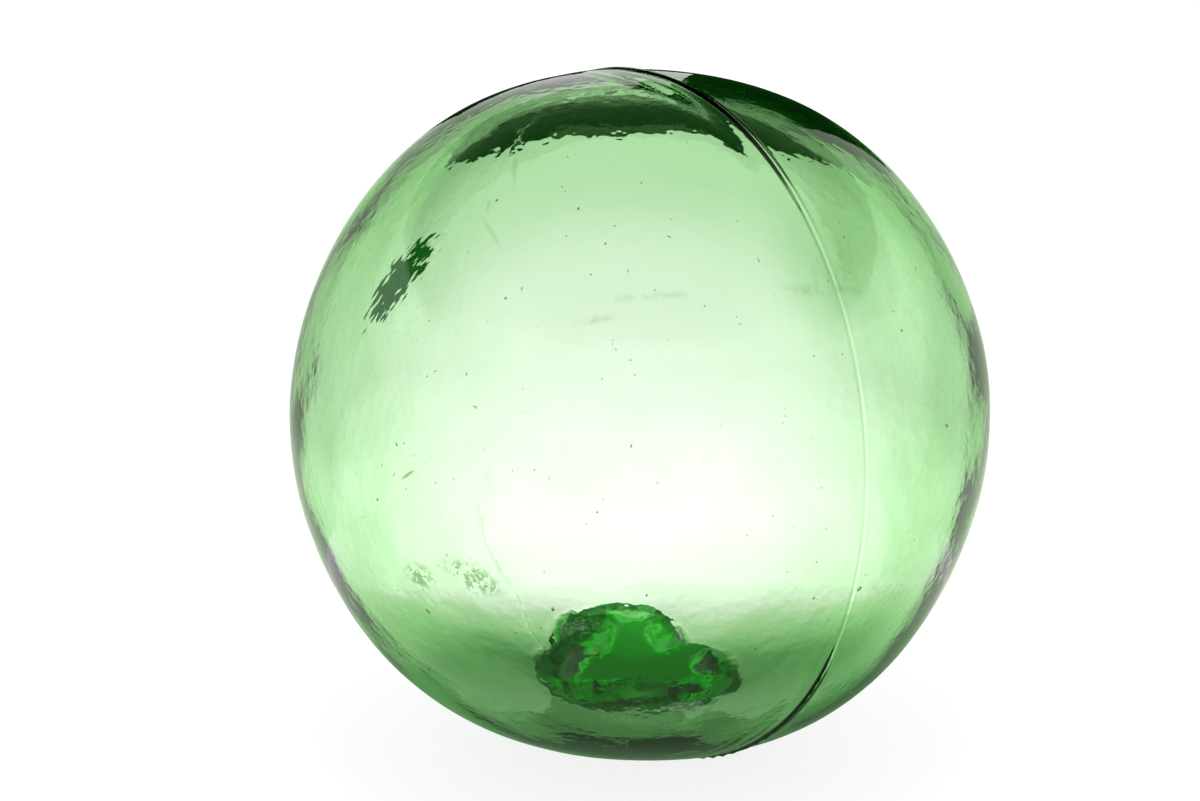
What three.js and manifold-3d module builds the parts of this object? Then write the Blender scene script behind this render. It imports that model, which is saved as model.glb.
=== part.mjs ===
// A blown glass fishing float: a sealed ball, a little squarish, with the raised line of its two-part
// mould around it and a seal button low at the back. All of it is one fused piece of glass.
// Millimetres, +Z up, the front looks along -Y. The ball lies on a small flat spot in the plane z = 0.
import * as THREE from "three";
import { mergeVertices } from "three/addons/utils/BufferGeometryUtils.js";
import Module from "manifold-3d";

const rad = THREE.MathUtils.degToRad;

// ---- Driving sizes ----

const BALL_RADIUS = 63.5; // a five inch float
const BALL_DETAIL = 15; // each icosahedron edge is cut into this many parts plus one

// The outline swells in soft lobes around an axis that runs from the back up to the front:
// how many lobes, their height as a share of the radius, and the angle of the first one.
const LOBE_AXIS_TILT = rad(15);
const LOBES = [
  { count: 2, height: 0.0038, at: rad(-19) },
  { count: 4, height: 0.007, at: rad(40) },
  { count: 6, height: 0.0039, at: 0 },
];

// The mould's parting plane stands almost upright through the middle of the ball.
const SEAM_TURN = rad(36.8); // about +Z, from the plane that looks sideways along +X
const SEAM_LEAN = rad(-1.3);
const SEAM_OFFSET = -0.6; // along the plane's normal
const SEAM_WIDTH = 1.6;
const SEAM_HEIGHT_MOST = 0.55; // at the top and bottom, where the mould closed worst
const SEAM_HEIGHT_LEAST = 0.2; // half way up
const SEAM_ROOT = 0.8; // how far the ridge reaches into the ball
const SEAM_STEPS = 132;

// The seal: a gather of hot glass pressed over the blowing hole.
const BUTTON_FROM_BOTTOM = rad(18.8); // angle at the ball's centre, straight down to the button
const BUTTON_TURN = rad(1.5); // from straight behind, towards +X
const BUTTON_RADIUS = 18.3; // along the surface
const BUTTON_WAVES = [
  { count: 2, height: 0.05, at: rad(20) },
  { count: 3, height: 0.035, at: rad(75) },
  { count: 5, height: 0.02, at: rad(10) },
];
const BUTTON_RISE = 1.4; // at its middle
const BUTTON_EDGE = 0.5; // the step at its rim
const BUTTON_ROOT = 2;
const BUTTON_STEPS = 54;
const BUTTON_RINGS = 6;

const FLAT_RADIUS = 8; // the worn spot that the ball lies on
const CLEAN_TO = 0.01; // edges and bumps smaller than this, left where two bodies were joined, are smoothed out

// ---- The ball's surface, as a radius for each direction from its centre ----

const lobeRight = new THREE.Vector3(1, 0, 0);
const lobeUp = new THREE.Vector3(0, Math.sin(LOBE_AXIS_TILT), Math.cos(LOBE_AXIS_TILT));

function ballRadius(direction) {
  const x = direction.dot(lobeRight);
  const y = direction.dot(lobeUp);
  const away = Math.hypot(x, y); // 0 on the lobes' axis, 1 at right angles to it
  const angle = Math.atan2(y, x);
  let swell = 1;
  for (const { count, height, at } of LOBES) {
    swell += height * away ** count * Math.cos(count * (angle - at));
  }
  return BALL_RADIUS * swell;
}

// A point above (or, with a negative rise, below) the surface in a given direction.
function pointOn(direction, rise = 0) {
  return direction.clone().multiplyScalar(ballRadius(direction) + rise);
}

// ---- Helpers for closed bodies ----

const wasm = await Module();
wasm.setup();

function toManifold(geometry) {
  const bare = geometry.clone();
  bare.deleteAttribute("normal");
  bare.deleteAttribute("uv");
  const merged = mergeVertices(bare, 1e-4);
  return new wasm.Manifold(
    new wasm.Mesh({
      numProp: 3,
      vertProperties: merged.attributes.position.array,
      triVerts: new Uint32Array(merged.index.array),
    }),
  );
}

function toGeometry(solid) {
  const mesh = solid.getMesh();
  const geometry = new THREE.BufferGeometry();
  geometry.setAttribute("position", new THREE.BufferAttribute(mesh.vertProperties, 3));
  geometry.setIndex(new THREE.BufferAttribute(mesh.triVerts, 1));
  return geometry;
}

// Skins a list of closed sections, each a list of as many points. When the sections close on themselves
// the last joins the first; otherwise the first and last sections are single points and need no caps.
function skin(sections, closed) {
  const points = sections.flat();
  const positions = points.flatMap((p) => [p.x, p.y, p.z]);
  const around = sections[0].length;
  const spans = closed ? sections.length : sections.length - 1;
  const index = [];
  for (let i = 0; i < spans; i += 1) {
    const next = (i + 1) % sections.length;
    for (let j = 0; j < around; j += 1) {
      const k = (j + 1) % around;
      const [a, b, c, d] = [i * around + j, i * around + k, next * around + k, next * around + j];
      index.push(a, c, b, a, d, c);
    }
  }
  const geometry = new THREE.BufferGeometry();
  geometry.setAttribute("position", new THREE.Float32BufferAttribute(positions, 3));
  geometry.setIndex(index);
  return dropSlivers(mergeVertices(geometry, 1e-4));
}

// Leaves out the triangles that fell to nothing where a section is a single point.
function dropSlivers(geometry) {
  const { array } = geometry.index;
  const kept = [];
  for (let i = 0; i < array.length; i += 3) {
    const [a, b, c] = array.slice(i, i + 3);
    if (a !== b && b !== c && c !== a) kept.push(a, b, c);
  }
  geometry.setIndex(kept);
  return geometry;
}

// ---- The ball ----

function makeBall() {
  const geometry = new THREE.IcosahedronGeometry(1, BALL_DETAIL);
  const { position } = geometry.attributes;
  for (let i = 0; i < position.count; i += 1) {
    const direction = new THREE.Vector3().fromBufferAttribute(position, i).normalize();
    position.setXYZ(i, ...pointOn(direction));
  }
  return toManifold(geometry);
}

// ---- The mould seam: a low ridge on the circle where the parting plane meets the ball ----

function makeSeam() {
  const normal = new THREE.Vector3(
    Math.cos(SEAM_LEAN) * Math.cos(SEAM_TURN),
    Math.cos(SEAM_LEAN) * Math.sin(SEAM_TURN),
    Math.sin(SEAM_LEAN),
  );
  const level = new THREE.Vector3().crossVectors(new THREE.Vector3(0, 0, 1), normal).normalize();
  const upright = new THREE.Vector3().crossVectors(normal, level);
  const lift = SEAM_OFFSET / BALL_RADIUS;
  const reach = Math.sqrt(1 - lift ** 2);
  const sections = [];
  for (let i = 0; i < SEAM_STEPS; i += 1) {
    const angle = (2 * Math.PI * i) / SEAM_STEPS;
    const steepness = Math.sin(angle) ** 2; // 0 half way up, 1 at the top and bottom
    const height = THREE.MathUtils.lerp(SEAM_HEIGHT_LEAST, SEAM_HEIGHT_MOST, steepness);
    const centre = new THREE.Vector3()
      .addScaledVector(level, reach * Math.cos(angle))
      .addScaledVector(upright, reach * Math.sin(angle))
      .addScaledVector(normal, lift);
    const across = (share, rise) => {
      const aside = centre.clone().addScaledVector(normal, (share * SEAM_WIDTH) / BALL_RADIUS);
      return pointOn(aside.normalize(), rise);
    };
    sections.push([
      across(-0.7, -SEAM_ROOT),
      across(-0.2, height),
      across(0.2, height),
      across(0.7, -SEAM_ROOT),
    ]);
  }
  return toManifold(skin(sections, true));
}

// ---- The seal button: a low dome with a wavy rim ----

function makeButton() {
  const axis = new THREE.Vector3(
    Math.sin(BUTTON_FROM_BOTTOM) * Math.sin(BUTTON_TURN),
    Math.sin(BUTTON_FROM_BOTTOM) * Math.cos(BUTTON_TURN),
    -Math.cos(BUTTON_FROM_BOTTOM),
  );
  const aside = new THREE.Vector3().crossVectors(axis, new THREE.Vector3(0, 0, 1)).normalize();
  const ahead = new THREE.Vector3().crossVectors(axis, aside);
  // A ring of points: its share of the way out to the rim, and how far above the ball it lies.
  const ring = (share, rise) => {
    const points = [];
    for (let j = 0; j < BUTTON_STEPS; j += 1) {
      const angle = (2 * Math.PI * j) / BUTTON_STEPS;
      let reach = 1;
      for (const { count, height, at } of BUTTON_WAVES) reach += height * Math.cos(count * (angle - at));
      const spread = (share * reach * BUTTON_RADIUS) / BALL_RADIUS;
      const direction = axis
        .clone()
        .multiplyScalar(Math.cos(spread))
        .addScaledVector(aside, Math.sin(spread) * Math.cos(angle))
        .addScaledVector(ahead, Math.sin(spread) * Math.sin(angle));
      points.push(pointOn(direction, rise));
    }
    return points;
  };
  const sections = [];
  for (let i = 0; i <= BUTTON_RINGS; i += 1) {
    const share = (0.97 * i) / BUTTON_RINGS;
    sections.push(ring(share, BUTTON_EDGE + (BUTTON_RISE - BUTTON_EDGE) * (1 - share ** 2)));
  }
  sections.push(ring(1.02, -BUTTON_ROOT), ring(0, -BUTTON_ROOT));
  return toManifold(skin(sections, false));
}

// ---- One body, with its flat spot, moved so that the spot lies in z = 0 under the middle of its box ----

function makeFloat() {
  let glass = makeBall().add(makeSeam()).add(makeButton());
  const bottom = ballRadius(new THREE.Vector3(0, 0, -1));
  const cut = BALL_RADIUS - Math.sqrt(BALL_RADIUS ** 2 - FLAT_RADIUS ** 2) - bottom;
  const slab = new THREE.BoxGeometry(2 * BALL_RADIUS, 2 * BALL_RADIUS, BALL_RADIUS);
  slab.translate(0, 0, cut - BALL_RADIUS / 2);
  glass = glass.subtract(toManifold(slab)).simplify(CLEAN_TO);
  const { min, max } = glass.boundingBox();
  return toGeometry(glass).translate(-(min[0] + max[0]) / 2, -(min[1] + max[1]) / 2, -cut);
}

const glass = new THREE.Mesh(
  makeFloat(),
  new THREE.MeshStandardMaterial({
    color: 0x9fd88f,
    roughness: 0.06,
    metalness: 0,
    transparent: true,
    opacity: 0.45,
  }),
);
glass.name = "glass_ball";
glass.geometry.computeVertexNormals();

const float = new THREE.Group();
float.name = "glass_float";
float.add(glass);

export default float;
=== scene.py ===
# %% [markdown]
# # A glass fishing float
# A float of this kind held up a fishing net. It is a bubble of green glass, blown into a two-part
# mould and closed with a second drop of hot glass, the seal. This lesson builds it as a glassmaker
# would describe it: one shell with an outer and an inner face, a raised line where the mould parted,
# a thick lumpy seal low at the back, and small bubbles in the wall. The solid ball of the frame gives
# the place and the size.

# %% Load the frame
import math

import bmesh
import bpy
import numpy as np
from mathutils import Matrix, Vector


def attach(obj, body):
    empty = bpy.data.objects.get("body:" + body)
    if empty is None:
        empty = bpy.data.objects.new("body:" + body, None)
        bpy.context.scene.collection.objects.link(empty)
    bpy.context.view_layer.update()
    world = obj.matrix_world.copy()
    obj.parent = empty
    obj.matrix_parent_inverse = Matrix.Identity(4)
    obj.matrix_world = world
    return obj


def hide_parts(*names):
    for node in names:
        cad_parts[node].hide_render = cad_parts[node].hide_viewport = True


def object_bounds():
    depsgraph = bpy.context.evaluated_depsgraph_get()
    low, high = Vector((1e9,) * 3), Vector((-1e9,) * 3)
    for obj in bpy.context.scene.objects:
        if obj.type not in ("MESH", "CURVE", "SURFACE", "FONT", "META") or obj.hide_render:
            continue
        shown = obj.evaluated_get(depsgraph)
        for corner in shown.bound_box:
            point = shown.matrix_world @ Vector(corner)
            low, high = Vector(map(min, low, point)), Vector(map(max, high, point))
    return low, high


MM = 0.001

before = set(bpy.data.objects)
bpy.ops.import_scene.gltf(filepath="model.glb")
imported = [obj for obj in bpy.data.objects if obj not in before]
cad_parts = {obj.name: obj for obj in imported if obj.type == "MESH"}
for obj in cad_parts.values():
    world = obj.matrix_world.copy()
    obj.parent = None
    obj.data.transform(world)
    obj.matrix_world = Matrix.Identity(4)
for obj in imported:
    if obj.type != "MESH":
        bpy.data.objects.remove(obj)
cad_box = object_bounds()
print("frame box, mm:", [[round(v / MM, 2) for v in corner] for corner in cad_box])

# %% [markdown]
# ## Directions on a ball
# Everything on a ball is easiest to place by the direction in which it lies from the centre. Here a
# direction is given like a place on a globe: an azimuth, from the front round to the right, and an
# elevation above the horizontal. All the shape functions below take an array of such directions, one
# row each, and give back a length in millimetres for every row.

# %% Directions


def toward(azimuth, elevation):
    """The unit vector with this azimuth (0 front, 90 right) and elevation, in degrees."""
    a, e = math.radians(azimuth), math.radians(elevation)
    return np.array([math.sin(a) * math.cos(e), -math.cos(a) * math.cos(e), math.sin(e)])


def smooth(values, start, end):
    """0 before start, 1 after end and a soft step between them."""
    t = np.clip((values - start) / (end - start), 0, 1)
    return t * t * (3 - 2 * t)


def unit(vector):
    """A vector of the same direction and the length 1."""
    return vector / np.linalg.norm(vector)


def waves(directions, length, seed, count=36):
    """Soft random waves of about this length in mm, with a height of about 1."""
    random = np.random.default_rng(seed)
    course = random.normal(size=(count, 3))
    course *= random.uniform(0.75, 1.3, (count, 1)) / np.linalg.norm(course, axis=1, keepdims=True)
    phase = random.uniform(0, 2 * math.pi, count)
    angle = directions @ course.T * (2 * math.pi * BALL_RADIUS / length) + phase
    return np.cos(angle).sum(1) * math.sqrt(2 / count)


print("the right is", toward(90, 0).round(3), "and the back is", toward(180, 0).round(3))

# %% [markdown]
# ## Where the ball is
# The frame's box says where the ball lies. Its width gives the radius, and its top gives the height
# of the centre. The ball isn't a perfect sphere: it cooled a little squarish, which six, four and two
# soft lobes around an axis from back to front describe well.

# %% The ball's outline
LOBE_AXIS_TILT = 15
LOBES = [(2, 0.0038, -19), (4, 0.0070, 40), (6, 0.0039, 0)]  # how many, how high, where the first one is

lobe_right = toward(90, 0)
lobe_up = toward(180, 90 - LOBE_AXIS_TILT)


def swell(directions):
    """How much further out than a sphere the ball's face lies, as a share of the radius."""
    x, y = directions @ lobe_right, directions @ lobe_up
    away, angle = np.hypot(x, y), np.arctan2(y, x)
    total = np.zeros(len(directions))
    for count, height, first in LOBES:
        total += height * away**count * np.cos(count * (angle - math.radians(first)))
    return total


SEAM_HEIGHT_MOST = 0.55
low, high = np.array(cad_box[0]) / MM, np.array(cad_box[1]) / MM
BALL_RADIUS = (high[0] - low[0]) / 2
top_radius = BALL_RADIUS * (1 + swell(toward(0, 90)[None])[0]) + SEAM_HEIGHT_MOST
CENTRE = np.array([(low[0] + high[0]) / 2, (low[1] + high[1]) / 2, high[2] - top_radius])
print("radius", round(BALL_RADIUS, 2), "centre", CENTRE.round(2), "mm")

# %% [markdown]
# ## The mould seam
# Hot glass was blown against the two halves of an iron mould, and a little of it was squeezed into
# the joint between them. The seam is therefore a low ridge on a great circle of the ball. It stands
# highest near the top and the bottom, where the mould closed worst, and at the lower front it is
# twisted like a cord. A shallow groove runs beside it.

# %% The seam's profile
SEAM_AXIS = toward(126.8, -1.3)
SEAM_OFFSET = -0.6
SEAM_HEIGHT_LEAST = 0.035
SEAM_HALF_WIDTH = 0.33
SEAM_AT_BOTTOM = 0.65  # its height under the ball, as a share of that at the top
SEAM_LOST_AT_BACK = 0.75
CORD_TURN = 3.4  # mm of seam for each turn of the twist
CORD_DEPTH = 0.45
GROOVE_DEPTH = 0.3  # groove and bulge are shares of the seam's height
GROOVE_ASIDE = 2.2 * SEAM_HALF_WIDTH
BULGE_HEIGHT = 0.35
BULGE_ASIDE = -3.2
BULGE_HALF_WIDTH = 2.2

seam_level = unit(np.cross([0, 0, 1], SEAM_AXIS))
seam_upright = np.cross(SEAM_AXIS, seam_level)


def ridge(aside, middle, half_width):
    """1 on a line and 0 away from it, with round shoulders."""
    return np.exp(-(((aside - middle) / half_width) ** 2))


def seam(directions):
    """The ridge and the groove, mm above the ball's face."""
    aside = directions @ SEAM_AXIS * BALL_RADIUS - SEAM_OFFSET
    along = np.arctan2(directions @ seam_upright, directions @ seam_level) * BALL_RADIUS
    up, back = directions[:, 2], directions[:, 1]
    steep = np.maximum(smooth(up, 0.62, 1.0), SEAM_AT_BOTTOM * smooth(-up, 0.40, 0.60))
    height = SEAM_HEIGHT_LEAST + (SEAM_HEIGHT_MOST - SEAM_HEIGHT_LEAST) * steep
    height *= 1 - SEAM_LOST_AT_BACK * smooth(back, 0.05, 0.35)
    twisted = smooth(-up, 0.25, 0.6) * smooth(-back, 0.0, 0.3)
    height *= 1 + CORD_DEPTH * twisted * np.sin(along / CORD_TURN * 2 * math.pi + 2 * aside)
    line = ridge(aside, 0, SEAM_HALF_WIDTH) - GROOVE_DEPTH * ridge(aside, GROOVE_ASIDE, SEAM_HALF_WIDTH)
    return height * (line + BULGE_HEIGHT * steep * ridge(aside, BULGE_ASIDE, BULGE_HALF_WIDTH))


seam_heights = seam(np.array([seam_upright, -seam_upright]) + SEAM_AXIS * SEAM_OFFSET / BALL_RADIUS)
print("the seam stands", seam_heights.round(2), "mm high at the top and at the bottom")

# %% [markdown]
# ## The seal button
# The blowing hole was closed with a gather of hot glass. Outside, it is a low dome with a crisp rim.
# Inside, where nobody could smooth it, the glass stayed in lumps. Both faces are described in a flat
# map of the button: how far to the right and how far up the back a point lies from its middle.

# %% The seal's map and its outline
BUTTON_AXIS = toward(178.5, -71.2)
BUTTON_RADIUS = 18.3
BUTTON_RISE = 1.4
BUTTON_EDGE = 0.5
DOME_SHOULDER = 12  # how far inside the rim the dome reaches its full height
CREASE_DEPTH = 0.2
OUTLINE = [  # right, back, half length, half width, turn
    (-1.0, -4.6, 20.6, 12.8, 0),
    (-4.6, 7.0, 13.4, 10.4, 0),
]

button_right = unit(np.cross(BUTTON_AXIS, [0, 0, 1]))
button_right *= np.sign(button_right[0])
button_back = np.cross(button_right, BUTTON_AXIS)
button_back *= np.sign(button_back[1])


def button_map(directions):
    """Millimetres to the right of the button's middle and up the back from it."""
    x, y = directions @ button_right * BALL_RADIUS, directions @ button_back * BALL_RADIUS
    behind = directions @ BUTTON_AXIS < 0.5
    return np.where(behind, 99, x), np.where(behind, 99, y)


def oval_reach(x, y, oval):
    """0 in the middle of an oval, 1 on its rim, and more outside."""
    right, back, length, width, turn = oval[:5]
    c, s = math.cos(math.radians(turn)), math.sin(math.radians(turn))
    u = ((x - right) * c + (y - back) * s) / length
    v = ((y - back) * c - (x - right) * s) / width
    return np.sqrt(u * u + v * v)


def rim_distance(x, y):
    """About how far inside the button's outline a point lies, in mm."""
    return np.max([(1 - oval_reach(x, y, oval)) * oval[3] for oval in OUTLINE], axis=0)


def button_outside(directions):
    """The dome and the crease around it, mm above the ball's face."""
    x, y = button_map(directions)
    inside = rim_distance(x, y)
    dome = BUTTON_EDGE + (BUTTON_RISE - BUTTON_EDGE) * smooth(inside, 0, DOME_SHOULDER)
    return dome * smooth(inside, -0.3, 0.6) - CREASE_DEPTH * ridge(inside, -0.6, 0.4)


print("the seal's dome rises", button_outside(BUTTON_AXIS[None]).round(2), "mm in its middle")


# %% [markdown]
# The lumps inside are soft ovals, each with a middle, a half length and width, a turn and a height. A
# higher power makes a lump's top flatter and its side steeper. Short waves roughen them. The seal
# thickens at once from its rim at the back, and gently in front, where the gather ran out.

# %% The seal's inner lumps
BUTTON_PLATEAU = 3.2
BACK_SLOPE = 1.6  # how wide the slope from the rim to the plateau is
FRONT_SLOPE_MORE = 6.0
LUMPS = [  # right, back, half length, half width, turn, height, power
    (-13.5, 1.5, 11.5, 4.6, 55, 2.6, 3.0),
    (5.4, 9.8, 6.4, 3.6, 75, 2.2, 3.0),
    (-3.0, 14.4, 11.0, 2.6, 0, 1.6, 2.0),
    (15.6, -3.6, 4.6, 2.8, 0, 1.8, 2.0),
]


def button_inside(directions):
    """How much thicker the wall is at the seal, in mm."""
    x, y = button_map(directions)
    inside = rim_distance(x, y)
    lumps = np.zeros(len(x))
    for lump in LUMPS:
        lumps = np.maximum(lumps, lump[5] * np.exp(-(oval_reach(x, y, lump) ** (2 * lump[6]))))
    rough = 0.16 * waves(directions, 4.0, 31) + 0.09 * waves(directions, 2.0, 32)
    slope = BACK_SLOPE + FRONT_SLOPE_MORE * smooth(-y, -2, 8)
    return smooth(inside, 0.1, slope) * (BUTTON_PLATEAU + lumps + rough * (0.15 + lumps / 2))


print("the wall is", button_inside(BUTTON_AXIS[None]).round(2), "mm thicker in the seal's middle")


# %% [markdown]
# ## The wall
# The wall of a blown ball is never even. This one is thin in front and behind, thicker at the sides
# and thickest on its shoulder, and the colour of the glass follows: the longer the way through it, the
# greener it looks.

# %% Outer and inner face
WALL = 1.0
WALL_SIDE_MORE = 1.2
WALL_TOP_MORE = 0.6
WALL_RIGHT_MORE = 0.15
THICK_SPOTS = [  # azimuth, elevation, radius, how much thicker
    (46, 33, 13, 0.8),
]
FLAT_SPOT_Z = -CENTRE[2]


def outer_face(directions):
    """The radius of the outer face in each direction, mm."""
    radius = BALL_RADIUS * (1 + swell(directions))
    calm = 1 - 0.6 * smooth(directions[:, 2], 0.4, 0.8)
    radius += calm * (0.022 * waves(directions, 16, 11) + 0.006 * waves(directions, 6, 12))
    radius += seam(directions) * (1 - smooth(button_outside(directions), 0.1, 0.4))
    radius += button_outside(directions)
    to_floor = np.where(directions[:, 2] < -0.5, FLAT_SPOT_Z / np.minimum(directions[:, 2], -0.5), 1e9)
    return np.minimum(radius, to_floor)


def inner_face(directions):
    """The radius of the inner face in each direction, mm."""
    up, right = directions[:, 2], directions[:, 0]
    sideways = 1 - (directions @ toward(0, LOBE_AXIS_TILT)) ** 2
    wall = WALL + WALL_SIDE_MORE * sideways**1.2 + WALL_TOP_MORE * smooth(up, 0.2, 0.8)
    wall += WALL_RIGHT_MORE * right
    wall *= 1 - 0.12 * smooth(up, 0.84, 0.97)
    for azimuth, elevation, radius, more in THICK_SPOTS:
        apart = np.linalg.norm(directions - toward(azimuth, elevation), axis=1) * BALL_RADIUS
        wall += more * np.exp(-((apart / radius) ** 2))
    calm = 1 - 0.7 * smooth(up, 0.4, 0.8)
    wall += calm * (0.05 * waves(directions, 42, 21) + 0.010 * waves(directions, 14, 22))
    return BALL_RADIUS * (1 + swell(directions)) - wall - button_inside(directions)


sampled = np.array([toward(0, 0), toward(90, 0), toward(-90, 0), toward(0, 90)])
print("wall in front, right, left, on top:", (outer_face(sampled) - inner_face(sampled)).round(2), "mm")


# %% [markdown]
# ## A mesh that is fine where it must be
# A globe's mesh crowds at its poles, and clear glass would show that. A drum-shaped mesh has none: a
# band of rows around the seam, and at each end a square grid pressed into a round cap. Rows and
# columns are paced: they stand close together at the seam and at the seal, and further apart
# elsewhere, so the triangles are spent where there is something to see.

# %% Pacing
CAP_LATITUDE = 50
button_latitude = math.degrees(math.asin(BUTTON_AXIS @ SEAM_AXIS))
button_longitude = math.degrees(math.atan2(BUTTON_AXIS @ seam_upright, BUTTON_AXIS @ seam_level))
BUTTON_SPREAD = math.degrees((BUTTON_RADIUS + 3.5) / BALL_RADIUS)
print("the seal is", round(button_latitude, 1), "degrees off the seam, at", round(button_longitude, 1))


def paced(start, end, count, pace):
    """count steps from start to end, each as long as pace says, apart from one common factor."""
    x = np.linspace(start, end, 6001)
    hurry = 1 / pace(x)
    passed = np.concatenate([[0], np.cumsum((hurry[1:] + hurry[:-1]) / 2)])
    return np.interp(np.linspace(0, passed[-1], count + 1), passed, x)


def seam_pace(seam_step, button_step, wide_step):
    """A pace for the rows: the step in degrees at each latitude."""

    def pace(latitude):
        off_button = np.abs(latitude - button_latitude) - BUTTON_SPREAD
        step = button_step + (wide_step - button_step) * smooth(off_button, 0, 8)
        return seam_step + (step - seam_step) * smooth(np.abs(latitude), 0.9, 4)

    return pace


def button_pace(button_step, wide_step):
    """A pace for the columns: the step in degrees at each longitude from the seal."""

    def pace(longitude):
        off_button = np.abs(longitude) - BUTTON_SPREAD
        return button_step + (wide_step - button_step) * smooth(off_button, 0, 12)

    return pace


def steps_for(start, end, pace):
    """How many steps a pace asks for."""
    x = np.linspace(start, end, 6001)
    return int(np.mean(1 / pace(x)) * (end - start))


# %% [markdown]
# The drum is made of unit directions. The cap's grid is a square of cells: the ring of cells at one
# distance from its middle becomes a circle, and its points take their longitudes from the same paced
# columns as the band's rim, so that the two fit together.

# %% The drum


def drum(row_pace, column_pace):
    """Unit directions and faces of a closed ball made of a band and two square caps."""
    rows = paced(-CAP_LATITUDE, CAP_LATITUDE, steps_for(-CAP_LATITUDE, CAP_LATITUDE, row_pace), row_pace)
    cells = 2 * round(steps_for(-180, 180, column_pace) / 8)
    around = 4 * cells
    columns = paced(-180, 180, around, column_pace) + button_longitude

    def point(latitude, turn):
        """The direction at a latitude from the seam and a share of the way round."""
        longitude = np.radians(np.interp(turn % 1, np.linspace(0, 1, around + 1), columns))
        latitude = np.radians(latitude)
        level = np.cos(latitude) * np.cos(longitude)
        upright = np.cos(latitude) * np.sin(longitude)
        return np.sin(latitude) * SEAM_AXIS + level * seam_level + upright * seam_upright

    vertices = [point(row, turn / around) for row in rows for turn in range(around)]
    faces = []
    for r in range(len(rows) - 1):
        for c in range(around):
            a, b = r * around + c, r * around + (c + 1) % around
            faces.append((a, b, b + around, a + around))
    half = cells // 2
    for side, rim_row in ((-1, 0), (1, len(rows) - 1)):
        index = {}
        for i in range(-half, half + 1):
            for j in range(-half, half + 1):
                ring = max(abs(i), abs(j))
                if i == ring:
                    step = j
                elif j == ring:
                    step = 2 * ring - i
                elif i == -ring:
                    step = 4 * ring - j
                else:
                    step = 6 * ring + i
                turn = (step % (8 * ring)) / (8 * ring) if ring else 0
                if ring == half:
                    index[i, j] = rim_row * around + round(turn * around) % around
                else:
                    index[i, j] = len(vertices)
                    latitude = side * (90 - (90 - CAP_LATITUDE) * ring / half)
                    vertices.append(point(latitude, turn))
        for i in range(-half, half):
            for j in range(-half, half):
                quad = (index[i, j], index[i + 1, j], index[i + 1, j + 1], index[i, j + 1])
                faces.append(quad if side > 0 else quad[::-1])
    return np.array(vertices), np.array(faces)


outer_directions, outer_quads = drum(seam_pace(0.14, 0.52, 1.4), button_pace(0.55, 1.4))
inner_directions, inner_quads = drum(seam_pace(2.6, 0.5, 2.6), button_pace(0.5, 2.8))
print("outer quads", len(outer_quads), "inner quads", len(inner_quads))

# %% [markdown]
# ## Seeds
# Cheap glass wasn't melted for long, so it is full of seeds: bubbles the size of a grain of sand,
# drawn out a little along the wall as the ball was blown. A bubble is a hole in the glass, so it is a
# small closed face that looks inward, placed in the middle of the wall.

# %% The seeds
SEED_COUNT = 150


def seeds(count):
    """Points and faces of small drawn-out bubbles in the wall, mm."""
    grain = bmesh.new()
    bmesh.ops.create_icosphere(grain, subdivisions=1, radius=1)
    shape = np.array([v.co for v in grain.verts])
    sides = np.array([[v.index for v in f.verts] for f in grain.faces])[:, ::-1]
    grain.free()
    random = np.random.default_rng(5)
    places = random.normal(size=(count, 3))
    places /= np.linalg.norm(places, axis=1, keepdims=True)
    outside, inside = outer_face(places), inner_face(places)
    points, faces = [], []
    for n, place in enumerate(places):
        size = 0.11 + 0.2 * random.random() ** 2.5
        drawn = 1 + 1.6 * random.random() ** 2
        along = unit(np.cross(place, random.normal(size=3)))
        across = np.cross(place, along)
        depth = inside[n] + (outside[n] - inside[n]) * random.uniform(0.3, 0.7)
        local = shape @ np.array([along * drawn, across, place * 0.8]) * size
        faces.append(sides + len(shape) * n)
        points.append(CENTRE + place * depth + local)
    return np.concatenate(points), np.concatenate(faces)


seed_points, seed_faces = seeds(SEED_COUNT)
print("seeds", SEED_COUNT, "triangles", len(seed_faces))

# %% [markdown]
# ## One piece of glass
# The outer face, the inner face turned to look into the cavity, and the seeds together bound the
# glass, so they are one mesh. A renderer can then follow a ray into the wall, out into the cavity and
# back, bending it each time.

# %% Join the faces


def glass_mesh(name):
    """The float's mesh, in metres, in the frame."""
    outer = CENTRE + outer_directions * outer_face(outer_directions)[:, None]
    inner = CENTRE + inner_directions * inner_face(inner_directions)[:, None]
    points = np.concatenate([outer, inner, seed_points]) * MM
    faces = [tuple(f) for f in outer_quads]
    faces += [tuple(f) for f in inner_quads[:, ::-1] + len(outer)]
    faces += [tuple(f) for f in seed_faces + len(outer) + len(inner)]
    mesh = bpy.data.meshes.new(name)
    mesh.from_pydata(points.tolist(), [], faces)
    mesh.polygons.foreach_set("use_smooth", np.ones(len(faces), dtype=bool))
    mesh.validate()
    mesh.update()
    return mesh


float_ball = bpy.data.objects.new("float_glass", glass_mesh("float_glass"))
bpy.context.collection.objects.link(float_ball)
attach(float_ball, "root")
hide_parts("glass_ball")


GLASS_DENSITY = 2500


def measure(mesh):
    """Triangles and volume of a closed mesh."""
    bm = bmesh.new()
    bm.from_mesh(mesh)
    open_edges = sum(not e.is_manifold for e in bm.edges)
    volume = bm.calc_volume(signed=True)
    triangles = sum(len(f.verts) - 2 for f in bm.faces)
    bm.free()
    return triangles, open_edges, volume


triangles, open_edges, volume = measure(float_ball.data)
print("triangles", triangles, "open edges", open_edges)
print("glass, cm3", round(volume * 1e6, 1), "kg", round(volume * GLASS_DENSITY, 3))

# %% [markdown]
# ## Shader maths in Python
# A finish is a network of nodes. Written node by node it is hard to read, so this small class wraps
# a socket and lets the network be written as sums: 1 - mask or a * b adds the Math node by itself.

# %% Sockets as numbers


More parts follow.
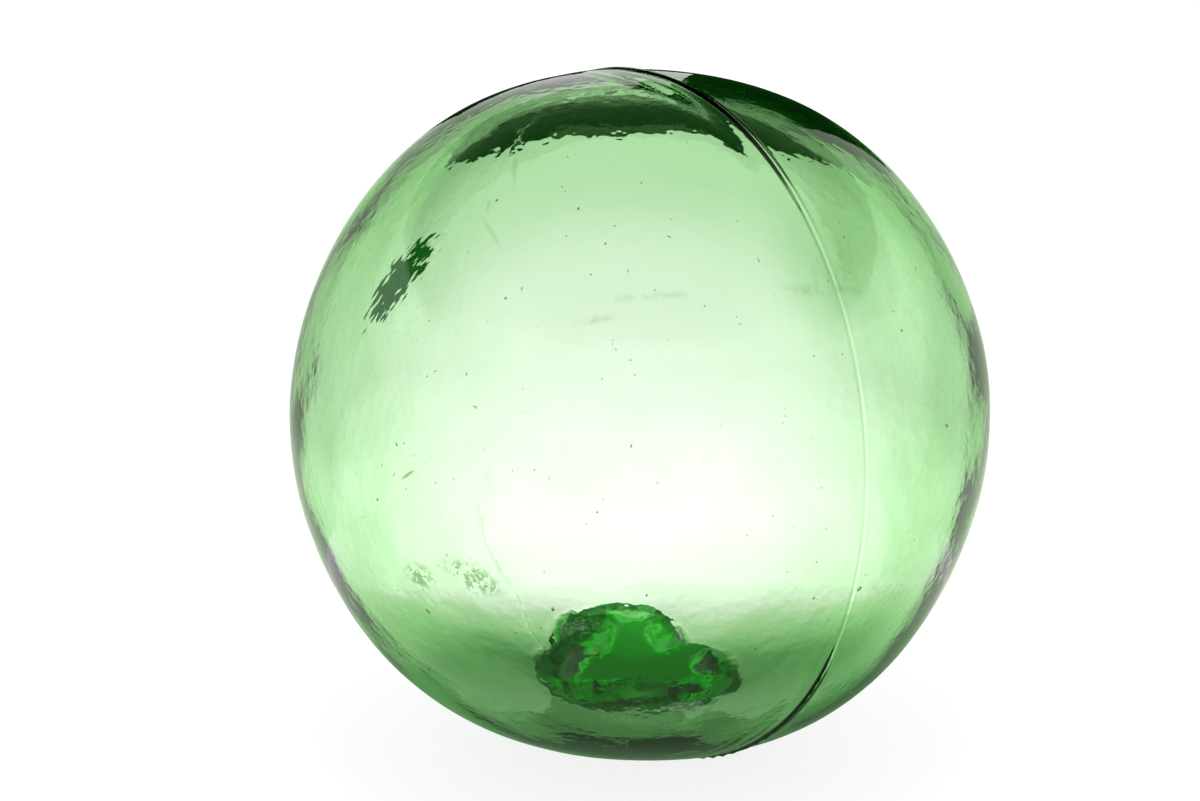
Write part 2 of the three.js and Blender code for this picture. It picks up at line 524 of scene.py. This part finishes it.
class Wire:
    """An output socket of a node tree, ready for sums."""

    def __init__(self, socket):
        self.socket = socket

    def math(self, operation, *values):
        inputs = dict(enumerate(values))
        return add_node(self.socket.id_data, "ShaderNodeMath", {"operation": operation}, inputs)

    def __add__(self, other):
        return self.math("ADD", self, other)

    def __sub__(self, other):
        return self.math("SUBTRACT", self, other)

    def __mul__(self, other):
        return self.math("MULTIPLY", self, other)

    def __rsub__(self, other):
        return self.math("SUBTRACT", other, self)

    def __pow__(self, other):
        return self.math("POWER", self, other)

    __radd__ = __add__
    __rmul__ = __mul__

    def most(self, other):
        return self.math("MAXIMUM", self, other)

    def step(self, start, end):
        """0 before start, 1 after end and a soft step between them."""
        settings = {"interpolation_type": "SMOOTHSTEP"}
        inputs = {"Value": self, "From Min": start, "From Max": end}
        return add_node(self.socket.id_data, "ShaderNodeMapRange", settings, inputs)


def add_node(tree, kind, settings=None, inputs=None, output=0):
    """Adds a node, its settings first and then its sockets' values or links; gives one output."""
    node = tree.nodes.new(kind)
    for name, value in (settings or {}).items():
        setattr(node, name, value)
    for name, value in (inputs or {}).items():
        if isinstance(value, Wire):
            tree.links.new(value.socket, node.inputs[name])
        else:
            node.inputs[name].default_value = value
    return Wire(node.outputs[output])


def blend_colours(factor, first, second):
    """first where factor is 0 and second where it is 1."""
    inputs = {0: factor, 6: first, 7: second}
    return add_node(factor.socket.id_data, "ShaderNodeMix", {"data_type": "RGBA"}, inputs, output=2)


def vector_maths(operation, first, second=None, output="Vector"):
    """A Vector Math node on a vector that comes from a node."""
    inputs = {0: first} if second is None else {0: first, 1: tuple(second)}
    return add_node(first.socket.id_data, "ShaderNodeVectorMath", {"operation": operation}, inputs, output)


def split_vector(vector):
    """The X, Y and Z of a vector, as three numbers."""
    x = add_node(vector.socket.id_data, "ShaderNodeSeparateXYZ", {}, {"Vector": vector})
    return [Wire(socket) for socket in x.socket.node.outputs]


def new_material(name):
    """A material with an empty node tree but for its output."""
    material = bpy.data.materials.new(name)
    material.use_nodes = True
    material.node_tree.nodes.clear()
    material.node_tree.nodes.new("ShaderNodeOutputMaterial")
    return material, material.node_tree


# %% [markdown]
# ## Marks on the glass
# The float has had a long life. Each mark is placed by its direction from the centre, so the same
# table serves a scuff, a patch of dried sea growth and a smear. A mark fades out with distance from
# its middle, and most lie on the outer face only.

# %% Masks
material, tree = new_material("float_glass")
place = add_node(tree, "ShaderNodeTexCoord", output="Object")


def from_point(point):
    """The way from a point to each place, as a vector in metres."""
    return vector_maths("SUBTRACT", place, np.array(point) * MM)


def reach_of(vector):
    """The length of a vector in mm."""
    return vector_maths("LENGTH", vector, output="Value") * (1 / MM)


def part_along(vector, direction):
    """How far a vector goes in a direction, in mm."""
    return vector_maths("DOT_PRODUCT", vector, direction, "Value") * (1 / MM)


def noise(length, detail=2.0, roughness=0.5, vector=None, seed=0.0):
    """Soft noise from 0 to 1, with lumps of about this length in mm; the seed moves it, in metres."""
    moved = vector_maths("ADD", vector or place, (seed, seed / 2, seed / 3))
    inputs = {"Vector": moved, "Scale": 1 / (length * MM), "Detail": detail, "Roughness": roughness}
    return add_node(tree, "ShaderNodeTexNoise", {}, inputs)


def oval_axes(azimuth, elevation, turn):
    """The directions along and across a mark that is turned this far from level."""
    level = toward(azimuth + 90, 0)
    rising = np.cross(toward(azimuth, elevation), -level)
    rising *= np.sign(rising[2])
    c, s = math.cos(math.radians(turn)), math.sin(math.radians(turn))
    return level * c + rising * s, rising * c - level * s


def mark(azimuth, elevation, half_length, half_width, turn=0.0, edge=0.6):
    """1 in an oval on the ball's outer face and 0 outside it."""
    middle = CENTRE + toward(azimuth, elevation) * BALL_RADIUS
    along, across = oval_axes(azimuth, elevation, turn)
    way = from_point(middle)
    depth = part_along(way, toward(azimuth, elevation)) * (1 / max(4.0, half_length))
    u = part_along(way, along) * (1 / half_length)
    v = part_along(way, across) * (1 / half_width)
    reach = (u * u + v * v + depth * depth) ** 0.5
    return 1 - reach.step(1 - edge, 1)


def marks(table, edge):
    """Several marks together."""
    total = mark(*table[0], edge)
    for row in table[1:]:
        total = total + mark(*row, edge)
    return total


def streaks(azimuth, elevation, turn, length, width, seed):
    """Noise drawn out along a direction: lumps of about length by width mm."""
    along, across = oval_axes(azimuth, elevation, turn)
    way = from_point(CENTRE)
    inputs = {"X": part_along(way, along) * (MM * width / length), "Y": part_along(way, across) * MM}
    drawn = add_node(tree, "ShaderNodeCombineXYZ", {}, inputs)
    return noise(width, detail=1.0, roughness=0.6, vector=drawn, seed=seed)


outside = reach_of(from_point(CENTRE)).step(BALL_RADIUS - 1.4, BALL_RADIUS - 1.1)
print("nodes for the places:", len(tree.nodes))

# %% [markdown]
# ## The glass finish
# Green bottle glass takes its colour from iron. It swallows red and blue light on the way through, so
# the colour isn't painted on: an absorbing volume fills the wall, and thick glass turns dark green by
# itself. The face is softly hammered by the mould, which a bump of about two millimetres describes.

# %% The hammered face
ABSORBED_PER_MM = (0.130, 0.028, 0.152)  # red, green and blue

hammered = noise(2.1, detail=1.0, seed=0.1) * 0.016
for name, absorbed in zip(("red", "green", "blue"), ABSORBED_PER_MM):
    print(name, "left after 3 mm of glass:", round(math.exp(-3 * absorbed), 2))

# %% [markdown]
# Four kinds of marks lie on the face. Stains are faint: smears, a crooked scratch and fine hairs.
# Growth is what small sea animals left, in dry grains with gaps between them. A chip and tiny specks
# make up the rest. A patch of dark scales beside them is painted reflection: the dark surroundings
# that a rippled place in the face would mirror, painted into the colour. On clear glass a mark
# is a darker tint of what shines through it, so each one is mixed into the base colour.

# %% The marks
SMEARS = [  # azimuth, elevation, half length, half width, turn
    (1.7, 32.6, 11, 1.3, 3),
    (33.6, 31.8, 12, 1.6, -8),
    (-8, 29, 5, 1.1, 8),
]
CROOK = [
    (-33.9, 53.5, 6.2, 0.7, 118),
    (-35.2, 46.2, 2.4, 0.7, 110),
    (-31.2, 41.6, 5.4, 0.7, -42),
]
GROWTH = [
    (-36.8, -13.4, 4.6, 3.2, 0),
    (-27.0, -11.9, 7.6, 3.6, -20),
]
SPECK_SPACING = 4.6
SCALE_REFLECTION_TURN = 67

smears = marks(SMEARS, 0.9) * noise(3.0, seed=0.5).step(0.4, 0.62)
scratch = mark(-23.4, 4.6, 4.0, 0.16, 90, 0.9)
hairs = streaks(-40, 28, 35, 3.5, 0.16, 1.1).step(0.62, 0.70) * mark(-40, 27, 12, 8, 30, 0.9)
stain = smears * 0.8 + marks(CROOK, 0.9) * 0.6 + scratch * 0.5 + hairs * 0.5

grain = noise(1.5, detail=3.0, roughness=0.7, seed=0.7)
growth = marks(GROWTH, 0.6) * grain.step(0.47, 0.54)
chip = mark(-37.6, 2.8, 2.0, 0.35, 38, 0.4)

cells = {"Vector": place, "Scale": 1 / (SPECK_SPACING * MM)}
specks = 1 - add_node(tree, "ShaderNodeTexVoronoi", {}, cells, "Distance").step(0.028, 0.045)
# painted reflection: dark scales standing for dark surroundings mirrored in a rippled place of the face
scale_reflection_flakes = streaks(-49, 33.1, SCALE_REFLECTION_TURN, 2.6, 0.7, 0.3)
scale_reflection_patch = mark(-48.6, 31.6, 14.5, 6.0, SCALE_REFLECTION_TURN, 0.9)
scale_reflection = (scale_reflection_patch * 0.55 + scale_reflection_flakes).step(0.72, 0.80) * scale_reflection_patch.step(0.02, 0.2)

colour = (1.0, 1.0, 1.0, 1.0)  # clean glass
for where, tint in (
    (stain, (0.50, 0.66, 0.46, 1.0)),
    (growth, (0.50, 0.62, 0.40, 1.0)),
    (chip, (0.25, 0.26, 0.12, 1.0)),
    (specks, (0.15, 0.25, 0.15, 1.0)),
    # the painted reflection of the dark scales
    (scale_reflection, (0.0003, 0.02, 0.0006, 1.0)),
):
    colour = blend_colours(where * outside, colour, tint)
rough = growth * outside * 0.4
print("nodes with the marks:", len(tree.nodes))

# %% [markdown]
# The seal is tinted darker than its thickness alone would make it: partly the deeper green of its
# own gather of glass, partly painted shade of the dark floor that shines up through it. The shader
# measures the same flat map as the shape does: how far right and how far up the back. On the inner
# face, painted shade lies in dark streaks over the lumps with a pale painted highlight between them,
# and a thin dark line follows the rim in front.

# %% The seal's colour
from_button = from_point(CENTRE)
button_x = part_along(from_button, button_right)
button_y = part_along(from_button, button_back)
button_depth = part_along(from_button, BUTTON_AXIS).step(30, 34)


def button_oval(oval, start, end):
    """1 inside an oval of the button's map and 0 outside it."""
    right, back, length, width, turn = oval[:5]
    c, s = math.cos(math.radians(turn)), math.sin(math.radians(turn))
    x, y = button_x - right, button_y - back
    u = (x * c + y * s) * (1 / length)
    v = (y * c - x * s) * (1 / width)
    return 1 - ((u * u + v * v) ** 0.5).step(start, end)


# painted shade: dark streaks laid over the seal's inner lumps
LUMP_SHADE_STREAKS = [  # right, back, half length, half width, turn
    (5.4, 10.2, 7.0, 3.0, 112),
    (-4.4, 13.4, 6.0, 2.2, -15),
    (16.2, -4.8, 5.4, 2.4, -15),
    (1.0, -10.8, 3.5, 1.2, 0),
]

seal = button_oval(OUTLINE[0], 0.93, 1.0).most(button_oval(OUTLINE[1], 0.90, 1.0)) * button_depth
inner = seal * (1 - outside)
# painted shade on the lumps, broken up by noise
lump_shade = button_oval((-13.8, 3.0, 14.0, 4.8, 62), 0.7, 1.05)
for oval in LUMP_SHADE_STREAKS:
    lump_shade = lump_shade.most(button_oval(oval, 0.5, 1.1) * 0.85)
lump_shade = lump_shade * (noise(1.3, detail=3.0, roughness=0.7, seed=0.9) * 2.6 - 0.3)
# painted highlight: a pale streak on the seal's mound where the light above is mirrored
seal_highlight = button_oval((-0.5, 6.5, 9.0, 9.0, 0), 0.2, 1.1)
smudge = button_oval((-21.5, -5.0, 6.5, 3.5, 20), 0.1, 1.1) * button_depth
rim = button_oval(OUTLINE[0], 0.985, 1.02) * (1 - button_oval(OUTLINE[0], 0.935, 0.965))
rim = rim * (1 - button_y.step(-5.0, 0.0)) * button_depth

for where, tint in (
    # the seal's tint: partly its own deeper green glass, partly painted shade of the dark floor below
    (seal, (0.03, 0.54, 0.05, 1.0)),
    (smudge * 0.4, (0.10, 0.34, 0.10, 1.0)),
    # painted highlight on the seal's inner face
    (inner * seal_highlight * 0.9, (0.26, 0.58, 0.26, 1.0)),
    # painted shade over the inner lumps
    (inner * lump_shade, (0.001, 0.03, 0.002, 1.0)),
    (rim * 0.9, (0.01, 0.04, 0.01, 1.0)),
):
    colour = blend_colours(where, colour, tint)
print("nodes with the seal:", len(tree.nodes))

# %% [markdown]
# The glass itself is one Principled shader with full transmission, and its colour comes from a Volume
# Absorption node. That node's colour is what is left of white light after a certain length, so the
# three rates above are turned into one density and one colour.

# %% The glass
ABSORPTION_DEPTH = 0.98  # the most absorbed colour's share that the node's own colour leaves out

relief = {"Strength": 1.0, "Distance": MM, "Height": hammered}
bump = add_node(tree, "ShaderNodeBump", {}, relief, "Normal")
glass = add_node(
    tree,
    "ShaderNodeBsdfPrincipled",
    {},
    {
        "Base Color": colour,
        "Roughness": rough,
        "IOR": 1.52,
        "Transmission Weight": 1.0,
        "Normal": bump,
    },
    "BSDF",
)
most_absorbed = max(ABSORBED_PER_MM)
volume = add_node(
    tree,
    "ShaderNodeVolumeAbsorption",
    {},
    {
        "Color": tuple(1 - a / most_absorbed * ABSORPTION_DEPTH for a in ABSORBED_PER_MM) + (1.0,),
        "Density": most_absorbed / ABSORPTION_DEPTH / MM,
    },
    "Volume",
)
output = tree.nodes["Material Output"]
tree.links.new(glass.socket, output.inputs["Surface"])
tree.links.new(volume.socket, output.inputs["Volume"])
float_ball.data.materials.append(material)
print("glass nodes", len(tree.nodes))

# %% [markdown]
# ## The studio
# Clear glass shows nothing but what is behind and around it, so the studio is part of the finish. The
# float lies on a plain pale floor under a soft lamp, in a white surround. The glass doesn't see that
# floor: light shines through the ball onto it and back in a way that takes very long to follow, so
# what the glass sees is made of a few glowing shapes that only bent and mirrored light meets.

# %% The floor
FLOOR_RADIUS = 1.45
FLOOR_BELOW = 0.0002
FLOOR_GREY = (0.2, 0.2, 0.2, 1.0)
FLOOR_GLOW = 0.84
WHITE = (1.0, 1.0, 1.0, 1.0)


def link(made):
    """Puts an object into the scene."""
    bpy.context.collection.objects.link(made)
    return made


def glowing(material, tree, inputs):
    """Gives a material plain light of its own."""
    glow = add_node(tree, "ShaderNodeEmission", {}, inputs, "Emission")
    tree.links.new(glow.socket, tree.nodes["Material Output"].inputs["Surface"])
    return material


def disc(name, radius, height):
    """A flat round floor."""
    bm = bmesh.new()
    bmesh.ops.create_circle(bm, cap_ends=True, segments=128, radius=radius)
    bmesh.ops.translate(bm, verts=bm.verts, vec=(0, 0, height))
    mesh = bpy.data.meshes.new(name)
    bm.to_mesh(mesh)
    bm.free()
    return link(bpy.data.objects.new(name, mesh))


floor = disc("floor", FLOOR_RADIUS, -FLOOR_BELOW)
floor_material, floor_tree = new_material("floor")
paint = {"Base Color": FLOOR_GREY, "Roughness": 0.8, "Emission Color": WHITE, "Emission Strength": FLOOR_GLOW}
paint = add_node(floor_tree, "ShaderNodeBsdfPrincipled", {}, paint, "BSDF")
floor_tree.links.new(paint.socket, floor_tree.nodes["Material Output"].inputs["Surface"])
floor.data.materials.append(floor_material)
floor.visible_transmission = False
floor.visible_glossy = False
print("floor, m across:", 2 * FLOOR_RADIUS)

# %% [markdown]
# Around all this stands a large globe that only the glass sees. It is white and a little brighter
# just above the floor behind the float. To both sides of that it is pale green, as light is that has
# been through the ball before. Two parts are dark: a large card over the back and the top, so that no
# white reflection veils the ball's shoulder and the seal, and the ground.

# %% The surroundings that the glass sees
GLOBE_RADIUS = 1.5
CARD_LOW = math.sin(math.radians(28))
NEAR_FLOOR_MORE = 0.42
SIDE_GREEN = (0.52, 0.66, 0.47, 1.0)


def only_for_glass(made, material):
    """Lets bent and mirrored light see an object, and nothing else."""
    made.data.materials.append(material)
    material.cycles.emission_sampling = "NONE"
    made.visible_camera = False
    made.visible_diffuse = False
    made.visible_shadow = False


globe_material, globe_tree = new_material("surroundings")
seen = add_node(globe_tree, "ShaderNodeTexCoord", output="Object")
right, back, up = split_vector(vector_maths("NORMALIZE", seen))
aside = right.math("ABSOLUTE", right)
near_floor = 1 - up.step(-0.34, -0.20)
level = near_floor * NEAR_FLOOR_MORE + 1.04 - up.step(-0.17, 0.05) * 0.06
dim = aside.step(0.07, 0.30) * (1 - aside.step(0.6, 0.9)) * back.step(0.1, 0.5)
dark_card = up.step(CARD_LOW - 0.01, CARD_LOW + 0.01) * back.step(-0.40, 0.10)
ground = (up - back.step(0.72, 0.88) * 0.13).step(-0.62, -0.55)
level = level * (1 - dark_card * 0.98) * (ground * 0.97 + 0.03)
tint = blend_colours(dim, WHITE, SIDE_GREEN)
glowing(globe_material, globe_tree, {"Color": tint, "Strength": level})

bm = bmesh.new()
bmesh.ops.create_icosphere(bm, subdivisions=5, radius=GLOBE_RADIUS)
globe_mesh = bpy.data.meshes.new("surroundings")
bm.to_mesh(globe_mesh)
bm.free()
globe = link(bpy.data.objects.new("surroundings", globe_mesh))
globe.location = tuple(CENTRE * MM)
only_for_glass(globe, globe_material)
print("globe faces", len(globe_mesh.polygons))

# %% [markdown]
# Two small dark flags stand close behind the ball, above its middle. The ball's shoulder bends light
# from there to the camera, and that draws the dark crescents at the top. The left one is low, so the
# rim above its crescent stays pale, and the right one is tall, so that crescent reaches the rim.

# %% The flags
FLAG_BACK = 1.3  # in ball radii, like all sizes of the flags
LEFT_FLAG = ((-0.78, 0.20), (0.685, 1.01))  # across and up
RIGHT_FLAG = ((0.20, 1.06), (0.69, 2.20))

flag_material, flag_tree = new_material("black_card")
glowing(flag_material, flag_tree, {"Color": (0.004, 0.045, 0.004, 1.0), "Strength": 1.0})


def flag(name, across, up):
    """An upright card behind the ball, between two places across and two heights."""
    y = FLAG_BACK * BALL_RADIUS + CENTRE[1]
    corners = [(a * BALL_RADIUS + CENTRE[0], y, u * BALL_RADIUS + CENTRE[2]) for u in up for a in across]
    mesh = bpy.data.meshes.new(name)
    mesh.from_pydata([tuple(np.array(c) * MM) for c in corners], [], [(0, 1, 3, 2)])
    only_for_glass(link(bpy.data.objects.new(name, mesh)), flag_material)


flag("left_flag", *LEFT_FLAG)
flag("right_flag", *RIGHT_FLAG)
print("flags, mm behind the middle:", round(FLAG_BACK * BALL_RADIUS, 1))

# %% [markdown]
# Light that has gone through green glass is green, and most of it misses the floor right under the
# ball. Seen through the ball, its own shade on the floor is therefore deep green, and the floor just
# behind it is bright. A glowing card on the floor stands for that shade.

# %% The shade under the ball
SHADE_STOPS = [  # how far from the middle in ball radii, and the colour there
    (0.0, (0.13, 0.23, 0.12)),
    (0.30, (0.14, 0.27, 0.13)),
    (0.48, (0.15, 0.32, 0.14)),
    (0.70, (0.42, 0.64, 0.37)),
    (0.90, (0.74, 0.85, 0.67)),
    (1.03, (1.12, 1.06, 1.10)),
    (1.17, (1.32, 1.32, 1.32)),
]
SHADE_FRONT = 2.4  # how far the card's middle lies in front of the ball's, in ball radii
SHADE_RADIUS = 3.65
SHADE_NARROWER = 0.62  # the shade is longer across than along
SHADE_BEND = 0.2  # its back edge bends back at both sides

shade_material, shade_tree = new_material("shade")
spread = add_node(shade_tree, "ShaderNodeTexCoord", output="Object")
right, back, up = split_vector(vector_maths("ADD", spread, (0.0, -SHADE_FRONT * BALL_RADIUS * MM, 0.0)))
across = right.math("ABSOLUTE", right) * (SHADE_NARROWER / (BALL_RADIUS * MM))
away = back.most(back * -0.35) * (1 / (BALL_RADIUS * MM)) - across * across * SHADE_BEND
roundness = (across**4 + away**4) ** 0.25
ramp = shade_tree.nodes.new("ShaderNodeValToRGB")
ramp.color_ramp.interpolation = "LINEAR"
while len(ramp.color_ramp.elements) < len(SHADE_STOPS):
    ramp.color_ramp.elements.new(0.5)
for element, (reach, colour) in zip(ramp.color_ramp.elements, SHADE_STOPS):
    element.position = reach / SHADE_STOPS[-1][0]
    element.color = colour + (1.0,)
share = roundness * (1 / SHADE_STOPS[-1][0])
shade_tree.links.new(share.socket, ramp.inputs["Fac"])
glowing(shade_material, shade_tree, {"Color": Wire(ramp.outputs["Color"])})
shade = disc("shade", SHADE_RADIUS * BALL_RADIUS * MM, -FLOOR_BELOW / 2)
shade.location = (0.0, -SHADE_FRONT * BALL_RADIUS * MM, 0.0)
only_for_glass(shade, shade_material)

print("shade card, mm across:", round(2 * SHADE_RADIUS * BALL_RADIUS))

# %% [markdown]
# A soft lamp overhead and a white world light the floor. The glass sees neither the lamp, whose
# round reflection it would show, nor the floor.

# %% The lamp and the surround
LAMP_HEIGHT = 1.0
LAMP_ELEVATION = 80

lamp_data = bpy.data.lights.new("lamp", "AREA")
lamp_data.shape = "DISK"
lamp_data.size = 0.32
lamp_data.energy = 3.0
lamp = link(bpy.data.objects.new("lamp", lamp_data))
lamp.location = tuple(CENTRE * MM + toward(0, LAMP_ELEVATION) * LAMP_HEIGHT)
lamp.rotation_euler = (math.radians(LAMP_ELEVATION - 90), 0, 0)
lamp.visible_camera = False
lamp.visible_glossy = False
lamp.visible_transmission = False

world = bpy.data.worlds.new("surround")
world.use_nodes = True
world.node_tree.nodes["Background"].inputs["Color"].default_value = WHITE
world.node_tree.nodes["Background"].inputs["Strength"].default_value = 1.02
bpy.context.scene.world = world
print("lamp at", [round(v, 2) for v in lamp.location], "m")

# %% [markdown]
# ## The camera
# The camera looks at the ball's middle from nine radii away, a little from above. Its lens is chosen
# so that the ball fills the same share of the picture's width at any distance. Light crosses four
# faces of glass on its way through the ball and is mirrored a few times more, so it is followed for
# nine bounces; more would only add light that is guided round inside the wall.

# %% The camera
CAMERA_DISTANCE = 9.0  # ball radii
CAMERA_TILT = 15
BALL_SHARE = 0.584  # of the picture's width
BOUNCES = 9

camera_data = bpy.data.cameras.new("camera")
camera_data.sensor_width = 36
camera_data.lens = 36 * BALL_SHARE / 2 * math.sqrt(CAMERA_DISTANCE**2 - 1)
camera_data.shift_x = -0.0333
camera_data.shift_y = 0.0119
camera = link(bpy.data.objects.new("camera", camera_data))
camera.location = tuple((CENTRE + toward(0, CAMERA_TILT) * CAMERA_DISTANCE * BALL_RADIUS) * MM)
camera.rotation_euler = (math.radians(90 - CAMERA_TILT), 0, 0)

scene = bpy.context.scene
scene.camera = camera
scene.view_settings.view_transform = "Standard"
scene.cycles.use_denoising = True
scene.cycles.max_bounces = BOUNCES
scene.cycles.transmission_bounces = BOUNCES
scene.cycles.glossy_bounces = 5
print("lens", round(camera_data.lens, 1))
